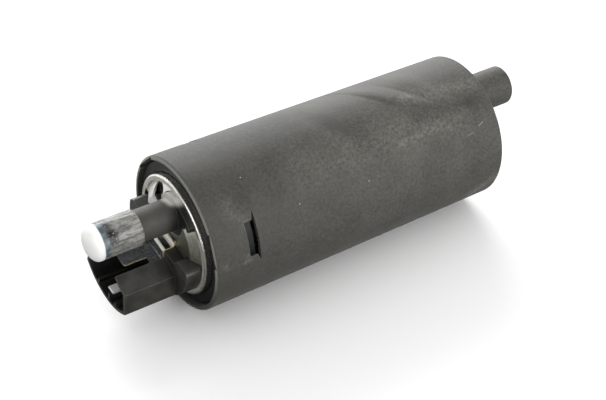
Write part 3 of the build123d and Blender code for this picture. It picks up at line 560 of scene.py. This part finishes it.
def soft_polyethylene():
    """Low-density polyethylene, moulded thin and soft: milky over the dark nozzle, wrinkled lengthwise and
    smudged, bluish where it is hollow, and white where the domed end is thick, with a painted glow there."""
    material, add, place = new_material("soft_polyethylene_cap")
    axial = add("SeparateXYZ", (place,), output="X")
    tube_end = NOZZLE_END * MM
    floor = CAP_FLOOR * MM
    swayed = wandering(add, place, 4.0, 0.7)
    wrinkles = grain(add, swayed, 0.85, 2.0, stretch=(8, 1, 1))
    fine = grain(add, swayed, 0.35, 2.0, stretch=(5, 1, 1))
    smudge = grain(add, place, 2.4, 4.0, roughness=0.6)
    wrinkles = add("Math", (wrinkles, 0.7), operation="MULTIPLY")
    folds = add("Math", (wrinkles, add("Math", (fine, 0.3), operation="MULTIPLY")), operation="ADD")
    shade = add("MapRange", (folds, 0.38, 0.62), **HELD)
    milky = add("Mix", (shade, rgba("#84837f"), rgba("#b9b8b2")), **COLOURS)
    smudged = add("MapRange", (smudge, 0.52, 0.66, 0.0, 0.5), **HELD)
    milky = add("Mix", (smudged, milky, rgba("#4d4b48")), **COLOURS)
    # Pinched dark where the thin wall folds over the nozzle's end, and with pale crazed specks there
    pinched = strokes(add, wandering(add, place, 1.2, 0.7), CAP_PINCHED, keyed, 0.4)
    dark = add("Math", (pinched, 0.95), operation="MULTIPLY")
    milky = add("Mix", (dark, milky, rgba("#1a1a19")), **COLOURS)
    crazed = add("MapRange", (grain(add, place, 0.5, 2.0), 0.64, 0.72), **HELD)
    crazed = add("Math", (pinched, crazed), operation="MULTIPLY")
    shade = add("MapRange", (smudge, 0.4, 0.64), **HELD)
    hollow = add("Mix", (shade, rgba("#5b6871"), rgba("#87939a")), **COLOURS)
    past_tube = add("MapRange", (axial, tube_end - 0.35 * MM, tube_end + 0.25 * MM, 1.0, 0.0), **HELD)
    past_floor = add("MapRange", (axial, floor - 0.25 * MM, floor + 0.25 * MM, 1.0, 0.0), **HELD)
    colour = add("Mix", (past_tube, milky, hollow), **COLOURS)
    colour = add("Mix", (crazed, colour, rgba("#e6e6e2")), **COLOURS)
    colour = add("Mix", (past_floor, colour, rgba("#fafaf7")), **COLOURS)
    # How much it hides what is under it
    cover = add("MapRange", (folds, 0.36, 0.64, 0.4, 0.66), **HELD)
    for mask, amount in ((past_tube, 0.72), (pinched, 0.9), (past_floor, 1.0)):
        cover = add("Math", (cover, add("Math", (mask, amount), operation="MULTIPLY")), operation="MAXIMUM")
    # The emission is a painted glow, standing in for light that the thick end scatters from the bright side
    # to the near side
    shader = add(
        "BsdfPrincipled",
        {
            "Base Color": colour,
            "Alpha": cover,
            "Roughness": add("MapRange", (smudge, 0.3, 0.7, 0.22, 0.38), **HELD),
            "IOR": 1.51,
            "Subsurface Weight": 0.35,
            "Subsurface Radius": (1.0, 1.0, 1.0),
            "Subsurface Scale": 2.5 * MM,
            "Emission Color": rgba("#fbfbf8"),
            "Emission Strength": add("Math", (past_floor, 0.12), operation="MULTIPLY"),
            "Normal": add("Bump", {"Height": folds, "Distance": 0.05 * MM}),
        },
    )
    add("OutputMaterial", {"Surface": shader})
    return material


# Inner pieces: name, colours, metallic, roughness, grain size in mm, grain stretch, and what it is
INNER_FINISHES = {
    "acetal_white": ("#d9d8ce", "#e6e5dd", 0.0, 0.42, 1.5, (1, 1, 1)),  # moulded valve parts, waxy
    "spring_steel_ground": ("#8d8e90", "#a9aaac", 1.0, 0.24, 0.3, (1, 6, 6)),  # ground and drawn wire
    "sintered_bronze": ("#7d5f36", "#97764a", 1.0, 0.48, 0.35, (1, 1, 1)),  # porous, oily
    "blackened_steel": ("#141416", "#1e1e21", 0.0, 0.50, 0.4, (1, 1, 1)),  # black oxide, oily
    "carbon_copper_face": ("#232326", "#323236", 0.0, 0.50, 0.5, (1, 1, 1)),  # pressed carbon, dull black
    "lamination_stack": ("#55565a", "#6f7074", 1.0, 0.46, 0.5, (0.5, 40, 40)),  # sheet edges across the axis
    "enamelled_copper": ("#7c3a18", "#a65528", 1.0, 0.30, 0.6, (30, 1, 1)),  # wire runs in the slots
    "ferrite_sintered": ("#2e2e31", "#3d3d40", 0.0, 0.62, 0.8, (1, 1, 1)),  # ground ceramic magnet
    "die_cast_aluminium": ("#9fa1a3", "#b5b7b9", 1.0, 0.40, 1.8, (1, 1, 1)),  # cast, faces turned
    "phenolic_moulded": ("#2b221c", "#3b3028", 0.0, 0.44, 0.6, (1, 1, 1)),  # brown-black impeller resin
    "seal_rubber_black": ("#111112", "#1c1c1d", 0.0, 0.52, 0.9, (1, 1, 1)),  # o-ring rubber, matte
}


def inner_finish(name):
    """Finish of a piece inside the pump, from its row of the table."""
    dark, light, metallic, roughness, size, stretch = INNER_FINISHES[name]
    material, add, place = new_material(name)
    pattern = grain(add, place, size, 3.0, stretch=stretch)
    shade = add("MapRange", (pattern, 0.35, 0.65), **HELD)
    shader = add(
        "BsdfPrincipled",
        {
            "Base Color": add("Mix", (shade, rgba(dark), rgba(light)), **COLOURS),
            "Metallic": metallic,
            "Roughness": add("MapRange", (pattern, 0.3, 0.7, roughness - 0.06, roughness + 0.06), **HELD),
            "Normal": add("Bump", {"Height": pattern, "Distance": 0.02 * MM}),
        },
    )
    add("OutputMaterial", {"Surface": shader})
    return material


INNER_NODES = {
    "acetal_white": ("check_valve", "check_valve_retainer", "thrust_washer", "thrust_button"),
    "spring_steel_ground": (
        "check_valve_spring",
        "relief_ball",
        "relief_spring",
        "brush_spring_near",
        "brush_spring_far",
        "shaft",
        "magnet_clip_near",
        "magnet_clip_far",
    ),
    "sintered_bronze": ("front_bush", "rear_bush"),
    "blackened_steel": ("relief_plug",),
    "carbon_copper_face": ("brush_near", "brush_far", "commutator"),
    "lamination_stack": ("armature_core",),
    "enamelled_copper": ("windings",),
    "ferrite_sintered": ("magnet_upper", "magnet_lower"),
    "die_cast_aluminium": ("port_plate", "pump_ring", "inlet_cover"),
    "phenolic_moulded": ("impeller",),
    "seal_rubber_black": ("cover_o_ring", "inlet_o_ring"),
}


def dress(name, material, angle=math.radians(40)):
    """Gives a CAD node its material and smooth shading that keeps the edges sharper than the angle."""
    node = NODES[name]
    node.data.materials.clear()
    node.data.materials.append(material)
    node.data.shade_smooth()
    keep = node.modifiers.new("keep_sharp_edges", "EDGE_SPLIT")
    keep.split_angle = angle
    return node


def smooth_seam(mesh):
    """Evens the normals where the mesh of the sleeve's outside has a seam but the wall is round."""
    normals = [Vector(corner.vector) for corner in mesh.corner_normals]
    places = {}
    for loop in mesh.loops:
        spot = mesh.vertices[loop.vertex_index].co
        outside = SLEEVE_RADIUS * MM - spot.x * SLEEVE_TAPER
        if abs(math.hypot(spot.y, spot.z) - outside) < SEAM_REACH * MM:
            micrometres = tuple(round(c * 1e6) for c in spot)
            places.setdefault(micrometres, []).append(loop.index)
    evened = list(normals)
    for corners in places.values():
        for here in corners:
            own = normals[here]
            alike = [normals[there] for there in corners if own.angle(normals[there], 0) < SEAM_ANGLE]
            evened[here] = sum(alike, Vector()).normalized()
    mesh.normals_split_custom_set(evened)


def link(name, mesh, body, material):
    """Puts a new piece in the scene, on its body."""
    piece = bpy.data.objects.new(name, mesh)
    bpy.context.scene.collection.objects.link(piece)
    mesh.materials.append(material)
    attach(piece, body)
    return piece


def cap_profile():
    """Rings of the dust cap as (x, radius, wrinkle), from the rim outside to the tip, then back inside."""
    profile = []
    for i in range(CAP_RINGS + 1):
        t = i / CAP_RINGS
        profile.append((CAP_RIM + (CAP_SHOULDER - CAP_RIM) * t, CAP_OUTER, 1 - (1 - DOME_WRINKLE) * t))
    for i in range(1, DOME_RINGS + 1):
        a = math.radians(90 * i / DOME_RINGS)
        x = CAP_SHOULDER + (CAP_TIP - CAP_SHOULDER) * math.sin(a)
        profile.append((x, CAP_OUTER * math.cos(a), DOME_WRINKLE * math.cos(a)))
    floor = ((0.0, 0.0), (CAP_INNER * 0.5, 0.0), (CAP_INNER - CAP_CORNER, 0.1))
    profile += [(CAP_FLOOR, radius, wrinkle) for radius, wrinkle in floor]
    for i in range(WALL_RINGS + 1):
        x = CAP_FLOOR + CAP_CORNER + (CAP_RIM - CAP_FLOOR - CAP_CORNER) * i / WALL_RINGS
        profile.append((x, CAP_INNER, INNER_WRINKLE))
    return profile


def cap_ring(bm, x, radius, wrinkle, look):
    """Corners of one ring of the dust cap, pressed in by its wrinkles, or one corner in the middle."""
    if radius < 0.001:
        return [bm.verts.new(keyed(x, 0, NOZZLE_W))]
    ring = []
    for s in range(CAP_ROUND):
        a = 2 * math.pi * s / CAP_ROUND
        folds = 0.0
        for strength, fine, first, change in CAP_FOLDS:
            at = Vector((math.cos(a) * fine, math.sin(a) * fine, first + x * change))
            folds += strength * noise.noise(at)
        pressed = min(0.0, folds - UNWRINKLED) * look.cap_wrinkle / MM * wrinkle
        if radius > CAP_INNER and wrinkle > INNER_WRINKLE:
            pressed = max(pressed, -PRESSED_OUTSIDE)
        elif radius <= CAP_INNER:
            pressed = max(pressed, -PRESSED_INSIDE)
        r = radius + pressed
        ring.append(bm.verts.new(keyed(x, r * math.cos(a), NOZZLE_W + r * math.sin(a))))
    return ring


class PumpLook(bpy.types.PropertyGroup):
    """Sizes and colours that a user would change."""

    sleeve_dark: bpy.props.FloatVectorProperty(
        name="Sleeve, dark",
        description="Darker tone of the sleeve's rubber",
        subtype="COLOR",
        size=3,
        min=0,
        max=1,
        default=linear("#3f3e3a"),
    )
    sleeve_light: bpy.props.FloatVectorProperty(
        name="Sleeve, light",
        description="Lighter tone of the sleeve's rubber",
        subtype="COLOR",
        size=3,
        min=0,
        max=1,
        default=linear("#5d5c56"),
    )
    moulding_dark: bpy.props.FloatVectorProperty(
        name="Moulding, dark",
        description="Darker tone of the outlet cover",
        subtype="COLOR",
        size=3,
        min=0,
        max=1,
        default=linear("#2f2e2b"),
    )
    moulding_light: bpy.props.FloatVectorProperty(
        name="Moulding, light",
        description="Lighter tone of the outlet cover",
        subtype="COLOR",
        size=3,
        min=0,
        max=1,
        default=linear("#403f3b"),
    )
    cap_wrinkle: bpy.props.FloatProperty(
        name="Cap wrinkle",
        description="Depth of the lengthwise wrinkles in the dust cap",
        default=0.14 * MM,
        min=0,
        max=0.25 * MM,
        unit="LENGTH",
    )
    edge_round: bpy.props.FloatProperty(
        name="Edge round",
        description="Small round that the light shows on the edges of the outlet cover",
        default=0.15 * MM,
        min=0,
        max=0.4 * MM,
        unit="LENGTH",
    )


class PUMP_OT_rubber(bpy.types.Operator):
    """Gives the sleeve and the isolators their rubber"""

    bl_idname = "pump.rubber"
    bl_label = "Rubber sleeve and isolators"

    def execute(self, context):
        look = context.scene.pump_look
        sleeve = dress("outer_sleeve", nitrile_rubber(look), math.radians(35))
        smooth_seam(sleeve.data)
        glossy = black_rubber()
        for name in ("front_isolator", "rear_isolator"):
            dress(name, glossy)
        return {"FINISHED"}


class PUMP_OT_steel(bpy.types.Operator):
    """Gives the shell and the end plate their metal"""

    bl_idname = "pump.steel"
    bl_label = "Steel shell and end plate"

    def execute(self, context):
        dress("pump_shell", drawn_steel(), math.radians(50))
        dress("end_plate", zinc_plate())
        return {"FINISHED"}


class PUMP_OT_mouldings(bpy.types.Operator):
    """Gives the outlet cover its moulded polyamide"""

    bl_idname = "pump.mouldings"
    bl_label = "Outlet cover"

    def execute(self, context):
        look = context.scene.pump_look
        dress("outlet_cover", filled_polyamide(look), math.radians(30))
        return {"FINISHED"}


class PUMP_OT_terminals(bpy.types.Operator):
    """Gives the two terminals their tinned brass"""

    bl_idname = "pump.terminals"
    bl_label = "Terminals"

    def execute(self, context):
        brass = tinned_brass()
        for name in ("earth_terminal", "supply_terminal"):
            dress(name, brass, math.radians(30))
        return {"FINISHED"}


class PUMP_OT_dust_cap(bpy.types.Operator):
    """Makes the dust cap: a thin wrinkled tube over the nozzle with a domed, thicker end"""

    bl_idname = "pump.dust_cap"
    bl_label = "Dust cap"

    def execute(self, context):
        look = context.scene.pump_look
        mesh = bpy.data.meshes.new("dust_cap_tube")
        bm = bmesh.new()
        rings = [cap_ring(bm, x, radius, wrinkle, look) for x, radius, wrinkle in cap_profile()]
        for ring, following in zip(rings, rings[1:] + rings[:1]):
            for here in range(CAP_ROUND):
                there = (here + 1) % CAP_ROUND
                corners = [ring[here % len(ring)], ring[there % len(ring)]]
                corners += [following[there % len(following)], following[here % len(following)]]
                corners = list(dict.fromkeys(corners))
                if len(corners) > 2:
                    bm.faces.new(corners)
        bmesh.ops.recalc_face_normals(bm, faces=bm.faces)
        bm.to_mesh(mesh)
        bm.free()
        mesh.shade_smooth()
        piece = link("dust_cap_tube", mesh, "dust_cap_body", soft_polyethylene())
        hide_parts("dust_cap")
        return {"FINISHED"}


class PUMP_OT_inner(bpy.types.Operator):
    """Gives the valves, motor and pump stage inside their finishes"""

    bl_idname = "pump.inner"
    bl_label = "Inner pieces"

    def execute(self, context):
        for finish, names in INNER_NODES.items():
            material = inner_finish(finish)
            for name in names:
                dress(name, material)
        return {"FINISHED"}


def make_floor(scene):
    """Pale floor that keeps the object's shadow, and shows white to the camera and in far reflections."""
    mesh = bpy.data.meshes.new("floor")
    z = CAD_BOX[0][2]
    corners = [(x * FLOOR_HALF, y * FLOOR_HALF, z) for x, y in ((-1, -1), (1, -1), (1, 1), (-1, 1))]
    mesh.from_pydata(corners, [], [(0, 1, 2, 3)])
    floor = bpy.data.objects.new("floor", mesh)
    scene.collection.objects.link(floor)
    material, add, place = new_material("white_table")
    rays = add("LightPath").node.outputs
    along = add("SeparateXYZ", (place,), output="Y")
    far = add("MapRange", (along, *FLOOR_MIRROR_WHITE), **HELD)
    seen = add("Math", (rays["Is Camera Ray"], rays["Is Transmission Ray"]), operation="MAXIMUM")
    far = add("Math", (rays["Is Glossy Ray"], far), operation="MULTIPLY")
    seen = add("Math", (seen, far), operation="MAXIMUM")
    tone = add("Mix", (rays["Is Glossy Ray"], rgba(FLOOR_TONE), rgba(FLOOR_MIRRORED)), **COLOURS)
    table = add("BsdfDiffuse", {"Color": add("Mix", (seen, tone, rgba("#ffffff")), **COLOURS)})
    # Away from the lamps it gets less light, and a stronger glow keeps it white up to the horizon
    away = add("VectorMath", (place,), operation="LENGTH")
    strength = add("MapRange", (away, *FLOOR_GLOW_RISE, *FLOOR_GLOW), **HELD)
    strength = add("Math", (seen, strength), operation="MULTIPLY")
    glow = add("Emission", {"Color": rgba("#ffffff"), "Strength": strength})
    both = add("AddShader", (table, glow))
    add("OutputMaterial", {"Surface": both})
    mesh.materials.append(material)


def make_room(scene):
    """Even white light, and white behind the object. Shiny pieces mirror a room that is bright low on the far
    side and at its window, and dim elsewhere."""
    world = bpy.data.worlds.new("studio")
    scene.world = world
    world.use_nodes = True
    world.node_tree.nodes.clear()
    add = functools.partial(add_node, world.node_tree)
    rays = add("LightPath").node.outputs
    seen = add("Math", (rays["Is Camera Ray"], rays["Is Transmission Ray"]), operation="MAXIMUM")
    looking = add("TexCoord", output="Generated")
    side = add("VectorMath", (looking, BRIGHT_SIDE), operation="DOT_PRODUCT")
    side = add("MapRange", (side, 0.34, 0.8, DIM_SIDE, 1.0), **HELD)
    window = add("VectorMath", (looking, BRIGHT_WINDOW), operation="DOT_PRODUCT")
    window = add("MapRange", (window, 0.72, 0.9, 0.0, WINDOW_LIGHT), **HELD)
    mirrored = add("Math", (side, window), operation="MAXIMUM")
    strength = add("Mix", (rays["Is Glossy Ray"], WORLD_LIGHT, mirrored))
    strength = add("Mix", (seen, strength, 1.0))
    sky = add("Background", {"Color": rgba("#ffffff"), "Strength": strength})
    add("OutputWorld", {"Surface": sky})


def make_lamps(scene):
    """Two large soft boxes: a strong one behind the object and a weaker one in front."""
    for name, spot, size, power in LAMPS:
        lamp = bpy.data.lights.new(name, "AREA")
        lamp.shape = "RECTANGLE"
        lamp.size, lamp.size_y = size
        lamp.energy = power
        holder = bpy.data.objects.new(name, lamp)
        scene.collection.objects.link(holder)
        holder.location = spot
        holder.rotation_mode = "QUATERNION"
        holder.rotation_quaternion = (LAMP_AIM - holder.location).to_track_quat("-Z", "Y")


def make_camera(scene):
    """Camera at the photograph's place and angle."""
    lens = bpy.data.cameras.new("camera")
    lens.sensor_width = SENSOR_WIDTH
    lens.lens = SENSOR_WIDTH * FOCAL_LENGTH / FRAME_WIDTH
    lens.clip_start = 0.01
    lens.clip_end = 10
    camera = bpy.data.objects.new("camera", lens)
    scene.collection.objects.link(camera)
    turn, tilt, roll = (math.radians(angle) for angle in CAMERA_ANGLES)
    back = Vector((math.sin(turn) * math.cos(tilt), -math.cos(turn) * math.cos(tilt), math.sin(tilt)))
    side = Vector((0, 0, 1)).cross(back).normalized()
    up = back.cross(side)
    right = side * math.cos(roll) + up * math.sin(roll)
    upward = up * math.cos(roll) - side * math.sin(roll)
    turned = Matrix((right, upward, back)).transposed().to_4x4()
    camera.matrix_world = Matrix.Translation(CAMERA_PLACE * MM) @ turned
    scene.camera = camera


class PUMP_OT_stage(bpy.types.Operator):
    """Makes the floor, the soft studio light and the camera"""

    bl_idname = "pump.stage"
    bl_label = "Floor, light and camera"

    def execute(self, context):
        scene = context.scene
        make_floor(scene)
        make_room(scene)
        make_lamps(scene)
        make_camera(scene)
        scene.view_settings.view_transform = "Standard"
        return {"FINISHED"}


OPERATORS = (
    PUMP_OT_stage,
    PUMP_OT_rubber,
    PUMP_OT_steel,
    PUMP_OT_mouldings,
    PUMP_OT_terminals,
    PUMP_OT_dust_cap,
    PUMP_OT_inner,
)


class PUMP_PT_panel(bpy.types.Panel):
    """Lists what the add-on makes"""

    bl_idname = "PUMP_PT_panel"
    bl_label = "Fuel pump"
    bl_space_type = "VIEW_3D"
    bl_region_type = "UI"
    bl_category = "Fuel pump"

    def draw(self, context):
        layout = self.layout
        look = context.scene.pump_look
        for name in look.bl_rna.properties.keys():
            if name not in ("rna_type", "name"):
                layout.prop(look, name)
        for operator in OPERATORS:
            layout.operator(operator.bl_idname)


CLASSES = (PumpLook, *OPERATORS, PUMP_PT_panel)


def register():
    for cls in CLASSES:
        bpy.utils.register_class(cls)
    bpy.types.Scene.pump_look = bpy.props.PointerProperty(type=PumpLook)


def unregister():
    del bpy.types.Scene.pump_look
    for cls in reversed(CLASSES):
        bpy.utils.unregister_class(cls)


def main():
    register()
    for operator in OPERATORS:
        group, name = operator.bl_idname.split(".")
        getattr(getattr(bpy.ops, group), name)()


if __name__ == "__main__":
    main()
